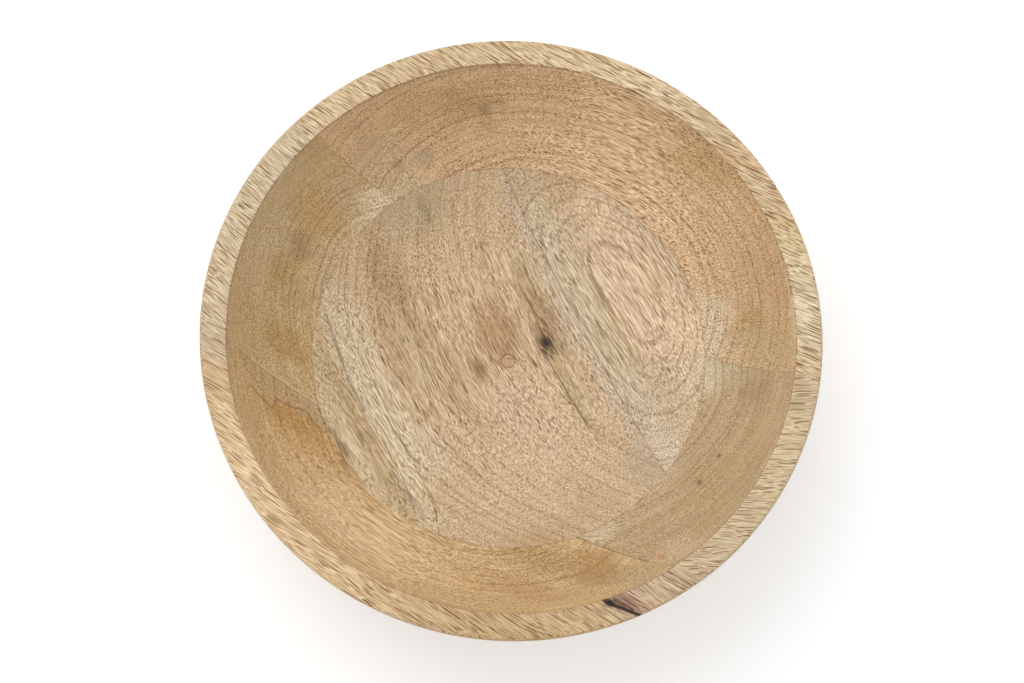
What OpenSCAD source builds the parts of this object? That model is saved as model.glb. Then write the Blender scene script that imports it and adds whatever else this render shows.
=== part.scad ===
// Turned dough bowl of glued mango boards.
// Two slabs are stacked: a wall slab over a base slab, each edge-glued from three boards, with the
// grain of one turned against the other. Turning hollows the wall slab into a ring, so its middle
// board is left as two blocks. A dowel plugs the hole that the lathe's centre screw left.
// The origin is at the middle of the foot, +Z is up, and +X runs along the wall boards' grain.

/* [Bowl] */
// Outside diameter at the rim
bowl_d = 300; // [280:1:340]
// Height from the foot to the rim
bowl_h = 75; // [70:1:85]
// Width of the rim, from its outside to the edge of the hollow
rim_w = 12.8; // [9:0.1:16]

/* [Hollow] */
// Thickness of the floor at the centre
floor_t = 15; // [10:0.5:20]
// Radius of the arc that turns the floor up into the wall
side_arc_r = 95; // [85:1:110]
// Radius of the floor's shallow dish
floor_dish_r = 900; // [600:10:1500]

/* [Outside] */
// Diameter of the flat foot
foot_d = 176; // [150:1:190]
// Radius of the arc from the foot up to the rim
outer_arc_r = 110; // [100:1:160]

/* [Boards] */
// Thickness of the base slab, up to the glue plane
base_slab_t = 30; // [24:0.5:36]
// Width of the wall slab's middle board
wall_middle_w = 112; // [90:1:130]
// How far the wall slab's middle board lies off the centre
wall_middle_shift = -11.6; // [-20:0.2:20]
// Width of the base slab's middle board
base_middle_w = 108; // [90:1:130]
// How far the base slab's middle board lies off the centre
base_middle_shift = -12.4; // [-20:0.2:20]
// Turn of the base boards' grain from the wall boards' grain
grain_turn = -36; // [-90:1:90]

/* [Plug] */
// Diameter of the dowel that plugs the centre hole
plug_d = 7; // [5:0.5:12]
// Glue clearance round the plug
plug_clearance = 0.05; // [0.02:0.01:0.1]

/* [Edges] */
// Chamfer on the rim's inner edge
rim_inner_chamfer = 0.5; // [0.3:0.1:2]
// Chamfer on the rim's outer edge
rim_outer_chamfer = 1; // [0.4:0.1:3]

/* [Hidden] */
$fn = 180;
// Facets in a full turn of the floor's large circle
dish_fn = 1440;

// How far cutting shapes run past what they cut
overrun = 5;
// How deep the side arc cuts under the dish, which leaves a faint crease where they meet
crease = 0.02;

rim_r = bowl_d / 2;
hollow_r = rim_r - rim_w;
foot_r = foot_d / 2;
plug_hole_d = plug_d + 2 * plug_clearance;

// Where each slab's two glue lines lie across its boards
wall_joint_back = wall_middle_shift + wall_middle_w / 2;
wall_joint_front = wall_middle_shift - wall_middle_w / 2;
base_joint_back = base_middle_shift + base_middle_w / 2;
base_joint_front = base_middle_shift - base_middle_w / 2;

// One of the two points where circles of radius ra about a and rb about b cross:
// the one on the left of the way from a to b
function crossing(a, ra, b, rb) =
    let (
        gap = norm(b - a),
        way = (b - a) / gap,
        along = (ra * ra - rb * rb + gap * gap) / (2 * gap),
        aside = sqrt(ra * ra - along * along)
    )
    a + along * way + aside * [-way[1], way[0]];

// Profile centres, as [radius, height]: the outer arc, from the foot's edge up to the chamfer at the
// widest point, the floor's dish, and the side arc, from the dish up to the hollow's edge
rim_edge = [rim_r, bowl_h - rim_outer_chamfer];
outer_centre = crossing([foot_r, 0], outer_arc_r, rim_edge, outer_arc_r);
dish_centre = [0, floor_t + floor_dish_r];
side_reach = floor_dish_r - side_arc_r + crease;
side_centre = crossing([hollow_r, bowl_h], side_arc_r, dish_centre, side_reach);
dish_end_r = floor_dish_r * side_centre[0] / side_reach;

// Half of the space inside the outer arc, from the foot to the rim and its chamfer
module outer_profile() {
    intersection() {
        polygon([
            [0, 0],
            [rim_r + overrun, 0],
            rim_edge + [overrun, -overrun],
            [rim_r - rim_outer_chamfer, bowl_h],
            [0, bowl_h]
        ]);
        union() {
            square([outer_centre[0], bowl_h]);
            translate(outer_centre) circle(r = outer_arc_r);
        }
    }
}

// Half of the hollow, open past the rim and its chamfer
module hollow_profile() {
    top = bowl_h + overrun;
    chamfer_r = hollow_r + rim_inner_chamfer;
    intersection() {
        square([dish_end_r, top]);
        translate(dish_centre) circle(r = floor_dish_r, $fn = dish_fn);
    }
    intersection() {
        square([rim_r, top]);
        translate(side_centre) circle(r = side_arc_r);
    }
    polygon([
        [chamfer_r + overrun, top],
        [chamfer_r - overrun, top],
        [chamfer_r - overrun, bowl_h - overrun]
    ]);
}

// Half of the turned bowl's cross-section
module bowl_profile() {
    difference() {
        outer_profile();
        hollow_profile();
    }
}

// The ring turned from the wall slab
module wall_ring() {
    rotate_extrude()
        intersection() {
            bowl_profile();
            translate([0, base_slab_t]) square([rim_r + overrun, bowl_h]);
        }
}

// The dished disc turned from the base slab
module base_disc() {
    rotate_extrude()
        intersection() {
            bowl_profile();
            square([rim_r + overrun, base_slab_t]);
        }
}

// A board of a slab before turning: full length from x0 to x1, and from y0 to y1 across the slab
module board(x0, x1, y0, y1) {
    translate([x0, y0, -overrun]) cube([x1 - x0, y1 - y0, bowl_h + 2 * overrun]);
}

slab_edge = rim_r + overrun;

module wall_piece(x0, x1, y0, y1) {
    intersection() {
        wall_ring();
        board(x0, x1, y0, y1);
    }
}

module base_piece(y0, y1) {
    difference() {
        intersection() {
            base_disc();
            rotate([0, 0, grain_turn]) board(-slab_edge, slab_edge, y0, y1);
        }
        translate([0, 0, -overrun]) cylinder(d = plug_hole_d, h = bowl_h);
    }
}

module wall_board_back() {
    color("burlywood") wall_piece(-slab_edge, slab_edge, wall_joint_back, slab_edge);
}

module wall_board_front() {
    color("tan") wall_piece(-slab_edge, slab_edge, -slab_edge, wall_joint_front);
}

module wall_block_left() {
    color("tan") wall_piece(-slab_edge, 0, wall_joint_front, wall_joint_back);
}

module wall_block_right() {
    color("tan") wall_piece(0, slab_edge, wall_joint_front, wall_joint_back);
}

module base_board_back() {
    color("wheat") base_piece(base_joint_back, slab_edge);
}

module base_board_middle() {
    color("burlywood") base_piece(base_joint_front, base_joint_back);
}

module base_board_front() {
    color("burlywood") base_piece(-slab_edge, base_joint_front);
}

// The dowel fills its hole from the foot up to the dish
module centre_plug() {
    color("peru")
        intersection() {
            base_disc();
            cylinder(d = plug_d, h = base_slab_t);
        }
}

wall_board_back();
wall_board_front();
wall_block_left();
wall_block_right();
base_board_back();
base_board_middle();
base_board_front();
centre_plug();
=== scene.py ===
# %% [markdown]
# # A turned dough bowl
#
# The bowl is glued up from boards and then turned on a lathe. Three boards, edge to edge, make the base
# slab. Three more make the wall slab on top, with their grain running another way. Turning hollows the
# wall slab right through, so its middle board is left as two blocks, and a dowel plugs the screw hole in
# the floor. The frame holds those eight pieces as plain solids. Here each one becomes a finer mesh with
# eased edges and its own wood, in the same place and size.

import bmesh
import bpy
import numpy as np
from mathutils import Matrix, Vector


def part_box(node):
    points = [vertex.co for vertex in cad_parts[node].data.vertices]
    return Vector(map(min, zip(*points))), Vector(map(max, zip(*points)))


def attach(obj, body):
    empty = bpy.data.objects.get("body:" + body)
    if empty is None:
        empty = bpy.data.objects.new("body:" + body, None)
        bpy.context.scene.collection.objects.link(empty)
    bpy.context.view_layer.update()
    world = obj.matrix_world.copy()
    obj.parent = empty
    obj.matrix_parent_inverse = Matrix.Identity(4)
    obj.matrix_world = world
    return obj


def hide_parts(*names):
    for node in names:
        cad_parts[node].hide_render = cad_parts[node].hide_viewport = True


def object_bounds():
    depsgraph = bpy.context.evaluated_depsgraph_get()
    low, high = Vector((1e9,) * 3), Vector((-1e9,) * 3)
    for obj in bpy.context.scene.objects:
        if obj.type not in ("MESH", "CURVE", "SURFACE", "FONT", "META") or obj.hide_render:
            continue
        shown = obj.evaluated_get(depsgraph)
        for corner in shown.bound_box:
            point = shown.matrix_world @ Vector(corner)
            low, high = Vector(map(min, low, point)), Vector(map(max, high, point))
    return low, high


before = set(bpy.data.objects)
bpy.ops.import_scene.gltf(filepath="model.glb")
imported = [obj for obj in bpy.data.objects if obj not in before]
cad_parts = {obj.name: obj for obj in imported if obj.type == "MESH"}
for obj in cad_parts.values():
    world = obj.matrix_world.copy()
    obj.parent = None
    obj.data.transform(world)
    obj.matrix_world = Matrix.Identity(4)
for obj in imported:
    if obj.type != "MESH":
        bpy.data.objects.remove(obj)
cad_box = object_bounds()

scene = bpy.context.scene
print("pieces in the frame:", sorted(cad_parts))

# %% [markdown]
# ## Sizes
#
# The frame gives the bowl's radius and height, the glue plane between the slabs and the wall boards'
# joints. The radii of the turned curves can't be read off a box, so they are named here. Lengths are in
# millimetres until a mesh is made. An angle that is typed in is in degrees, and one that is worked out is
# in radians.

# %% Driving sizes
MM = 0.001
rim_r = cad_box[1].x / MM
bowl_h = cad_box[1].z / MM
glue_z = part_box("wall_board_back")[0].z / MM
wall_joint_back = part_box("wall_board_back")[0].y / MM
wall_joint_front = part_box("wall_board_front")[1].y / MM
plug_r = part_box("centre_plug")[1].x / MM

rim_w = 12.8
rim_chamfer = 1
rim_edge_z = bowl_h - rim_chamfer
floor_t = 15
floor_dish_r = 900
side_arc_r = 95
crease = 0.02
foot_r = 88
outer_arc_r = 110
base_joint_back = 41.6
base_joint_front = -66.4
base_turn = -36
plug_clearance = 0.05
plug_hole_r = plug_r + plug_clearance

# The edges that sandpaper has rounded
rim_inner_round = 0.8
rim_outer_round = 1.6
foot_round = 3

print(f"bowl {2 * rim_r:.1f} x {bowl_h:.1f} mm, glue plane at {glue_z:.1f} mm")

# %% [markdown]
# ## The turned profile
#
# A lathe makes the same cut all the way round, so one profile of radius and height says it all: a
# shallow dish, an arc up to the rim, a flat rim and an arc back down to the foot. Every stretch is a part
# of a circle. A rounded edge is a small circle that touches both neighbours, so its centre lies one edge
# radius away from each.

# %% Circles of the profile
def crossing(a, ra, b, rb):
    """The point at distance ra from a and rb from b, on the left of the way from a to b."""
    a, b = np.array(a, float), np.array(b, float)
    gap = np.linalg.norm(b - a)
    way = (b - a) / gap
    along = (ra**2 - rb**2 + gap**2) / (2 * gap)
    aside = np.sqrt(ra**2 - along**2)
    return a + along * way + aside * np.array([-way[1], way[0]])


hollow_r = rim_r - rim_w
outer_centre = crossing((foot_r, 0), outer_arc_r, (rim_r, rim_edge_z), outer_arc_r)
dish_reach = floor_dish_r - side_arc_r + crease
side_centre = crossing((hollow_r, bowl_h), side_arc_r, (0, floor_t + floor_dish_r), dish_reach)
dish_end_r = floor_dish_r * side_centre[0] / dish_reach


def hollow_z(r):
    """Height of the hollow at radius r: the dish's circle, then the side arc's circle further out."""
    dish = floor_t + floor_dish_r - np.sqrt(floor_dish_r**2 - r**2)
    side = side_centre[1] - np.sqrt(np.maximum(side_arc_r**2 - (r - side_centre[0]) ** 2, 0))
    return np.where(r < dish_end_r, dish, side)


def swing(centre, radius, height):
    """Angle at which a circle reaches a height: 0 is its lowest point, a quarter turn its side."""
    return np.arccos((centre[1] - height) / radius)


def arc(centre, radius, angles):
    """Points centre + radius * (sin angle, -cos angle) of a profile circle."""
    return centre + radius * np.stack([np.sin(angles), -np.cos(angles)], -1)


glue_in_r = arc(side_centre, side_arc_r, swing(side_centre, side_arc_r, glue_z))[0]
glue_out_r = arc(outer_centre, outer_arc_r, swing(outer_centre, outer_arc_r, glue_z))[0]
print(f"glue plane: wood from radius {glue_in_r:.2f} to {glue_out_r:.2f} mm")

# %% [markdown]
# ## Seams
#
# A glue line shows because each board's edge is eased and the boards move a little over the years. So near
# a seam the surface sinks by less than a tenth of a millimetre, and the mesh has a few rows close together
# there. Everywhere else its rows are about a millimetre apart.

# %% Eased seams
seam_steps = np.array([0, 0.06, 0.14, 0.24, 0.4])
seam_depth = 0.07
seam_half_w = 0.25


def ease(distance):
    """How far the surface sinks near a seam: its depth times (1 - distance / half width) squared."""
    return seam_depth * np.clip(1 - distance / seam_half_w, 0, 1) ** 2


def spaced(length, step, seam_first=False, seam_last=False):
    """Distances from 0 to length about one step apart, crowded at an end that is a seam."""
    first = seam_steps if seam_first else np.zeros(1)
    last = seam_steps if seam_last else np.zeros(1)
    middle = np.linspace(first[-1], length - last[-1], max(2, round(length / step)))
    return np.concatenate([first[:-1], middle, length - last[-2::-1]])


def outward(loop):
    """Unit normals of a clockwise loop in (radius, height): its tangent turned to the left."""
    tangent = np.roll(loop, -1, 0) - np.roll(loop, 1, 0)
    normal = np.stack([-tangent[:, 1], tangent[:, 0]], -1)
    return normal / np.linalg.norm(normal, axis=1, keepdims=True)


print(f"a seam sinks {seam_depth} mm, and {seam_half_w} mm away the surface is level again")


# %% [markdown]
# ## From a grid to a mesh
#
# Each piece is a grid of points: a closed loop round the wood one way and rows of such loops the other.
# Neighbours make the faces, and one face closes each end. The grid goes into the mesh in whole arrays.
# Where a row shrinks to a point or a line, its doubles are merged, so the skin is closed.

# %% Mesh helpers
merge_distance = 2e-6
crisp_angle = 40


def loop_faces(rows, columns, skip=None):
    """Quads between neighbouring points of rows x columns points, whose columns close into a loop."""
    index = np.arange(rows * columns).reshape(rows, columns)
    right = np.roll(index, -1, 1)
    quads = np.stack([index[:-1], right[:-1], right[1:], index[1:]], -1)
    keep = np.ones(quads.shape[:2], bool) if skip is None else ~skip
    return quads[keep]


def make_piece(name, points, quads, ends=()):
    """A closed mesh in metres, from points in millimetres, quads and the polygons at its ends."""
    mesh = bpy.data.meshes.new(name)
    corners = np.concatenate([quads.ravel(), *ends]).astype(np.int32)
    sizes = np.concatenate([np.full(len(quads), 4), [len(end) for end in ends]]).astype(np.int32)
    mesh.vertices.add(len(points))
    mesh.vertices.foreach_set("co", (points * MM).astype(np.float32).ravel())
    mesh.loops.add(len(corners))
    mesh.loops.foreach_set("vertex_index", corners)
    mesh.polygons.add(len(sizes))
    mesh.polygons.foreach_set("loop_start", (np.cumsum(sizes) - sizes).astype(np.int32))
    mesh.update(calc_edges=True)

    skin = bmesh.new()
    skin.from_mesh(mesh)
    bmesh.ops.remove_doubles(skin, verts=skin.verts, dist=merge_distance)
    bmesh.ops.recalc_face_normals(skin, faces=skin.faces)
    open_edges = sum(not edge.is_manifold for edge in skin.edges)
    volume = skin.calc_volume(signed=True) / MM**3
    triangles = sum(len(face.verts) - 2 for face in skin.faces)
    skin.to_mesh(mesh)
    skin.free()

    mesh.shade_smooth()
    mesh.set_sharp_from_angle(angle=np.radians(crisp_angle))
    piece = bpy.data.objects.new(name, mesh)
    scene.collection.objects.link(piece)
    print(f"{name}: {triangles} triangles, {volume / 1000:.1f} cm3, open edges {open_edges}")
    return piece


# %% [markdown]
# ## Cracks and dents
#
# A few marks in the wood can be felt with a finger: a streak of bark in the rim, a shake in the floor and
# the middle of a knot. Each is a short straight line with a width and a depth, and the surface sinks
# round it. The bark streak needs a finer mesh, so the front board's columns crowd there.

# %% Marks that can be felt
bark_from, bark_to = np.array([98.5, -97.3, 75]), np.array([113.5, -95.9, 75])
shake_from, shake_to = np.array([-89, -26, 26.8]), np.array([-64, -48, 21.6])
knot_from, knot_to = np.array([11.6, 18.2, 15.2]), np.array([13.6, 16.6, 15.2])
marks = [
    (bark_from, bark_to, 0.9, 0.7),
    (shake_from, shake_to, 0.5, 0.12),
    (knot_from, knot_to, 1.6, 0.25),
]
too_shallow = 1e-4


def sunk(points):
    """How far each point sinks: depth times exp(-(distance to the mark's line / its width) squared)."""
    total = np.zeros(points.shape[:-1])
    for start, end, width, depth in marks:
        way = end - start
        along = np.clip((points - start) @ way / (way @ way), 0, 1)
        gap = np.linalg.norm(points - start - along[..., None] * way, axis=-1)
        total += depth * np.exp(-((gap / width) ** 2))
    return np.where(total > too_shallow, total, 0)


print(f"{len(marks)} marks, the deepest {max(depth for *_, depth in marks)} mm")


# %% [markdown]
# ## The wall
#
# The wall ring's profile is a closed loop: up the hollow's side, over the rim, down the outside and back
# along the glue plane. A board is that loop carried round the axis from one joint to the next. A joint is
# a flat plane at a given distance across the slab, so the sine of the angle at which a point reaches it is
# that distance over the point's radius. That makes flat ends, as on a sawn board.

# %% The wall's loop
# Steps of the mesh, how far and how much finer it gets round a mark, and at how many places that is known
side_step = 0.8
outside_step = 1.2
round_step = 1.25
crowd_reach = 14
crowd_gain = 3
way_points = 2001

# Points on the loop's short stretches
inner_round_points = 9
rim_points = 15
outer_round_points = 12
glue_points = 6


def wall_loop():
    """Loop of (radius, height) round the wall ring, clockwise from the hollow's lower edge."""
    rise_to = bowl_h - rim_inner_round
    inner_swing = swing(side_centre, side_arc_r + rim_inner_round, rise_to)
    inner_round_centre = arc(side_centre, side_arc_r + rim_inner_round, inner_swing)
    outer_swing = swing(outer_centre, outer_arc_r - rim_outer_round, bowl_h - rim_outer_round)
    outer_round_centre = arc(outer_centre, outer_arc_r - rim_outer_round, outer_swing)
    glue_swing_in = swing(side_centre, side_arc_r, glue_z)
    glue_swing_out = swing(outer_centre, outer_arc_r, glue_z)

    up = spaced(side_arc_r * (inner_swing - glue_swing_in), side_step, seam_first=True)
    hollow_side = arc(side_centre, side_arc_r, glue_swing_in + up / side_arc_r)
    turn_in = np.linspace(np.pi + inner_swing, np.pi, inner_round_points)[1:]
    inner_edge = arc(inner_round_centre, rim_inner_round, turn_in)
    across = np.linspace(inner_round_centre[0], outer_round_centre[0], rim_points)[1:]
    rim_top = np.stack([across, np.full(len(across), bowl_h)], -1)
    turn_out = np.linspace(np.pi, outer_swing, outer_round_points)[1:]
    outer_edge = arc(outer_round_centre, rim_outer_round, turn_out)
    down = spaced(outer_arc_r * (outer_swing - glue_swing_out), outside_step, seam_last=True)
    outside = arc(outer_centre, outer_arc_r, outer_swing - down / outer_arc_r)[1:]
    back = np.linspace(glue_out_r, glue_in_r, glue_points)[1:-1]
    glue_face = np.stack([back, np.full(len(back), glue_z)], -1)

    loop = np.concatenate([hollow_side, inner_edge, rim_top, outer_edge, outside, glue_face])
    sink = np.zeros(len(loop))
    sink[: len(up)] = ease(up)
    ends_at = len(loop) - len(glue_face)
    sink[ends_at - len(outside) : ends_at] = ease(down[-1] - down[1:])
    return loop - outward(loop) * sink[:, None]


def joint_columns(loop, normal, plane, side, x_sign):
    """Points near a joint: for each seam step, the loop eased by its sink and turned to the plane
    y = plane + side * step. The angle is asin(y / radius), or half a turn less that if x is negative."""
    eased = loop[:, None, :] - normal[:, None, :] * ease(seam_steps)[None, :, None]
    angle = np.arcsin((plane + side * seam_steps) / eased[..., 0])
    return eased, angle if x_sign > 0 else np.pi - angle


def wall_piece(name, start, end, recess=0.0, crowd_at=None):
    """A wall board: its loop, sunk by a recess, between two joints given as (plane, side, sign of x)."""
    loop = wall_loop()
    normal = outward(loop)
    loop = loop - normal * recess
    first, first_angle = joint_columns(loop, normal, *start)
    last, last_angle = joint_columns(loop, normal, *end)
    if last_angle.mean() < first_angle.mean():
        last_angle = last_angle + 2 * np.pi
    sweep = last_angle[:, -1] - first_angle[:, -1]

    way = np.linspace(0, 1, way_points)
    density = np.ones(len(way))
    if crowd_at is not None:
        centre = (crowd_at - first_angle.mean()) / sweep.mean()
        from_mark = (way - centre) * sweep.mean() * rim_r
        density += crowd_gain * np.exp(-((from_mark / crowd_reach) ** 2))
    share = np.cumsum(density) - density[0]
    columns = round(sweep.mean() * rim_r / round_step * density.mean())
    steps = np.interp(np.linspace(0, share[-1], columns), share, way)[1:-1]

    middle_angle = first_angle[:, -1:] + sweep[:, None] * steps
    middle = np.repeat(loop[:, None, :], len(steps), 1)
    profile = np.concatenate([first, middle, last[:, ::-1]], 1)
    angle = np.concatenate([first_angle, middle_angle, last_angle[:, ::-1]], 1)
    cos, sin = np.cos(angle), np.sin(angle)
    points = np.stack([profile[..., 0] * cos, profile[..., 0] * sin, profile[..., 1]], -1)
    lean = np.stack([normal[:, :1] * cos, normal[:, :1] * sin, normal[:, 1:] + 0 * angle], -1)
    points = points - lean * sunk(points)[..., None]

    points = points.transpose(1, 0, 2)
    count, size = points.shape[:2]
    ends = [np.arange(size), np.arange(size) + (count - 1) * size]
    return make_piece(name, points.reshape(-1, 3), loop_faces(count, size), ends)


print(f"the wall's loop has {len(wall_loop())} points")

# %% [markdown]
# ## Four wall pieces
#
# Wood swells and shrinks with the weather, and no two boards do so alike. So each wall piece but one is
# set back by a few hundredths of a millimetre, the front board the most, and the joints catch the light.

# %% The four wall pieces
bark_angle = np.arctan2(bark_from[1] + bark_to[1], bark_from[0] + bark_to[0]) + 2 * np.pi
pieces = {}
pieces["wall_board_back"] = wall_piece(
    "back_wall_board", (wall_joint_back, 1, 1), (wall_joint_back, 1, -1), recess=0.03
)
pieces["wall_block_left"] = wall_piece(
    "left_wall_block", (wall_joint_back, -1, -1), (wall_joint_front, 1, -1)
)
pieces["wall_board_front"] = wall_piece(
    "front_wall_board",
    (wall_joint_front, -1, -1),
    (wall_joint_front, -1, 1),
    recess=0.12,
    crowd_at=bark_angle,
)
pieces["wall_block_right"] = wall_piece(
    "right_wall_block", (wall_joint_front, 1, 1), (wall_joint_back, -1, 1), recess=0.02
)

# %% [markdown]
# ## The base
#
# The base is a disc cut into three strips by two straight joints. A loop round one strip runs along the
# foot, up the outer arc, in over the glue plane and back across the floor. The middle board is such loops
# side by side. An outer board's loops start flat at the joint and bend with the rim, until the last one
# shrinks to a line on the far edge: at radius r a loop lies a given share of the way from the joint to r.

# %% Loops round a base board
floor_step = 1.0
arc_step = 1.3
slope_at_glue = 0.6
foot_round_points = 5
foot_swing = swing(outer_centre, outer_arc_r - foot_round, foot_round)
foot_round_centre = arc(outer_centre, outer_arc_r - foot_round, foot_swing)
foot_flat_r = foot_round_centre[0]


def outer_chain():
    """(radius, height) from the foot's rounded edge up the outer arc and in over the glue plane."""
    edge = arc(foot_round_centre, foot_round, np.linspace(0, foot_swing, foot_round_points)[1:])
    reach = swing(outer_centre, outer_arc_r, glue_z) - foot_swing
    up = spaced(outer_arc_r * reach, arc_step, seam_last=True)[1:]
    outside = arc(outer_centre, outer_arc_r, foot_swing + up / outer_arc_r)
    inward = np.linspace(glue_out_r, glue_in_r, glue_points)[1:-1]
    glue_face = np.stack([inward, np.full(len(inward), glue_z)], -1)
    chain = np.concatenate([edge, outside, glue_face])
    normal = np.concatenate([edge - foot_round_centre, outside - outer_centre, 0 * glue_face])
    normal /= np.maximum(np.linalg.norm(normal, axis=1, keepdims=True), 1e-9)
    sink = np.concatenate([0 * edge[:, 0], ease(up[-1] - up), 0 * inward])
    return chain - normal * sink[:, None], normal


def base_rows(across, seam_gap, shares):
    """Loops of a base board in its own turned frame, as rows x points x 3, and how many points of a loop
    lie on the floor and on the outer chain.

    across(r) gives each row's distance across the slab at radius r, seam_gap each row's distance from its
    joint, and shares(half) the places of the floor points along a chord of that half length."""
    chain, normal = outer_chain()
    sink = ease(seam_gap)[:, None]
    r = chain[None, :, 0] - normal[None, :, 0] * sink
    y = across(r)
    x = np.sqrt(np.maximum(r**2 - y**2, 0))
    z = chain[None, :, 1] - normal[None, :, 1] * sink
    right = np.stack([x, y, z], -1)
    left = np.stack([-x, y, z], -1)[:, ::-1]

    def chord(radius):
        y = across(np.full((1, 1), radius))
        half = np.sqrt(np.maximum(radius**2 - y**2, 0))
        x = shares(half)
        return x, y + 0 * x

    x, y = chord(glue_in_r)
    r = np.hypot(x, y)
    from_glue = (glue_in_r - r) * np.hypot(1, slope_at_glue)
    floor = np.stack([x, y, hollow_z(r) - sink - ease(from_glue)], -1)
    x, y = chord(foot_flat_r)
    foot = np.stack([x, y, sink + 0 * x], -1)
    return np.concatenate([foot, right, floor[:, ::-1], left], 1), floor.shape[1], right.shape[1]


def to_bowl(points):
    """Turns points from the base boards' frame to the bowl's, and sinks the hollow's marks."""
    angle = np.radians(base_turn)
    cos, sin = np.cos(angle), np.sin(angle)
    turned = points.copy()
    turned[..., 0] = points[..., 0] * cos - points[..., 1] * sin
    turned[..., 1] = points[..., 0] * sin + points[..., 1] * cos
    turned[..., 2] -= sunk(turned)
    return turned


print(f"the foot is flat to a radius of {foot_flat_r:.1f} mm")


# %% [markdown]
# ## Outer base boards
#
# Each outer board is a slice of the disc with one straight edge. Its floor points crowd towards the ends
# of each chord, by a sine, because the hollow is steepest there.

# %% The two outer base boards
floor_points = 141
floor_shares = np.sin(np.linspace(-1, 1, floor_points) * np.pi / 2)


def outer_base_board(name, joint):
    """A base board from its joint to the edge: the row of share g lies at joint + g (r - joint)."""
    sign = np.sign(joint)
    reach = glue_in_r - abs(joint)
    gap = spaced(reach, floor_step, seam_first=True, seam_last=True)
    share = (gap / reach)[:, None]
    rows, _, _ = base_rows(
        lambda r: sign * (abs(joint) + (r - abs(joint)) * share), gap, lambda half: half * floor_shares
    )
    count, size = rows.shape[:2]
    ends = [np.arange(size)]
    return make_piece(name, to_bowl(rows).reshape(-1, 3), loop_faces(count, size), ends)


pieces["base_board_back"] = outer_base_board("back_base_board", base_joint_back)
pieces["base_board_front"] = outer_base_board("front_base_board", base_joint_front)

# %% [markdown]
# ## The middle board and its hole
#
# The middle board has a round hole for the plug. A grid has square cells, so a small square round the
# axis is left out of the floor and of the foot, and rings that change from that square to the circle fill
# it again. The wall of the hole joins the two circles.

# %% The middle base board
square_half = 8
square_cells = 20
ring_shares = np.linspace(0.12, 1, 8)
hole_rows = 8


def middle_base_board(name):
    """Rows at steady distances across, with a square left out round the axis for the plug's hole."""
    square = np.linspace(-square_half, square_half, square_cells + 1)
    before = spaced(-square_half - base_joint_front, floor_step, seam_first=True)[:-1] + base_joint_front
    after = spaced(base_joint_back - square_half, floor_step, seam_last=True)[1:] + square_half
    y = np.concatenate([before, square, after])
    gap = np.minimum(y - base_joint_front, base_joint_back - y)
    beyond = spaced(glue_in_r - square_half, floor_step, seam_last=True)[1:] / (glue_in_r - square_half)

    def chord_points(half):
        far = square_half + (half - square_half) * beyond
        return np.concatenate([-far[:, ::-1], square + 0 * half, far], 1)

    rows, floor_count, chain_count = base_rows(lambda r: y[:, None] + 0 * r, gap, chord_points)
    count, size = rows.shape[:2]
    row0, column0 = len(before), len(beyond)
    floor0 = floor_count + chain_count
    skip = np.zeros((count - 1, size), bool)
    skip[row0 : row0 + square_cells, column0 : column0 + square_cells] = True
    skip[row0 : row0 + square_cells, floor0 + column0 : floor0 + column0 + square_cells] = True

    side = square[:-1]
    edge_x = np.concatenate([side, 0 * side + square_half, -side, 0 * side - square_half])
    edge_y = np.concatenate([0 * side - square_half, side, 0 * side + square_half, -side])
    ring = np.stack([edge_x, edge_y], -1)
    circle = plug_hole_r * ring / np.linalg.norm(ring, axis=1, keepdims=True)
    out = np.concatenate([seam_steps / square_half, ring_shares])[:, None, None]
    floor_ring = circle + (ring - circle) * out
    r = np.linalg.norm(floor_ring, axis=-1)
    top = np.concatenate([floor_ring, (hollow_z(r) - ease(r - plug_hole_r))[..., None]], -1)
    bottom = np.concatenate([floor_ring, ease(r - plug_hole_r)[..., None]], -1)
    depth = np.linspace(1, 0, hole_rows)[1:-1, None, None]
    wall = bottom[:1] + (top[:1] - bottom[:1]) * depth
    hole = np.concatenate([top[::-1], wall, bottom])

    points = np.concatenate([rows.reshape(-1, 3), hole.reshape(-1, 3)])
    quads = np.concatenate([loop_faces(count, size, skip), loop_faces(*hole.shape[:2]) + count * size])
    ends = [np.arange(size), np.arange(size) + (count - 1) * size]
    return make_piece(name, to_bowl(points), quads, ends)


pieces["base_board_middle"] = middle_base_board("middle_base_board")

# %% [markdown]
# ## The plug
#
# A dowel is glued into the screw hole and turned flush with the floor. Its end stands a hair proud in
# the middle and its edge is eased, which leaves the fine ring seen in the floor.

# %% The centre plug
plug_sunk = 0.02
plug_crown = 0.1
plug_chamfer = 0.12
edge_in = np.array([0.03, 0.1, 0.2])
edge_down = np.array([0.12, 0.06, 0.0])
crown_points = 9
plug_rows = 8
plug_columns = 96


def turned_plug(name):
    """A profile from the foot's centre to the floor's centre, carried all the way round the axis."""
    top_z = floor_t - plug_sunk
    inward = np.linspace(plug_r - 2 * edge_in[-1], 0, crown_points)
    side_z = np.linspace(plug_chamfer, top_z - 3 * plug_crown, plug_rows)
    foot_in = np.linspace(0, plug_r - plug_chamfer, plug_rows)
    profile = np.concatenate(
        [
            np.stack([foot_in, 0 * foot_in], -1),
            np.stack([np.full(len(side_z), plug_r), side_z], -1),
            np.stack([plug_r - edge_in, top_z - edge_down - plug_crown], -1),
            np.stack([inward, top_z - plug_crown * (inward / plug_r) ** 2], -1),
        ]
    )
    angle = np.linspace(0, 2 * np.pi, plug_columns, endpoint=False)
    r, z = profile[:, :1], profile[:, 1:]
    points = np.stack([r * np.cos(angle), r * np.sin(angle), z + 0 * angle], -1)
    return make_piece(name, points.reshape(-1, 3), loop_faces(*points.shape[:2]))


pieces["centre_plug"] = turned_plug("centre_plug_dowel")

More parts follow.
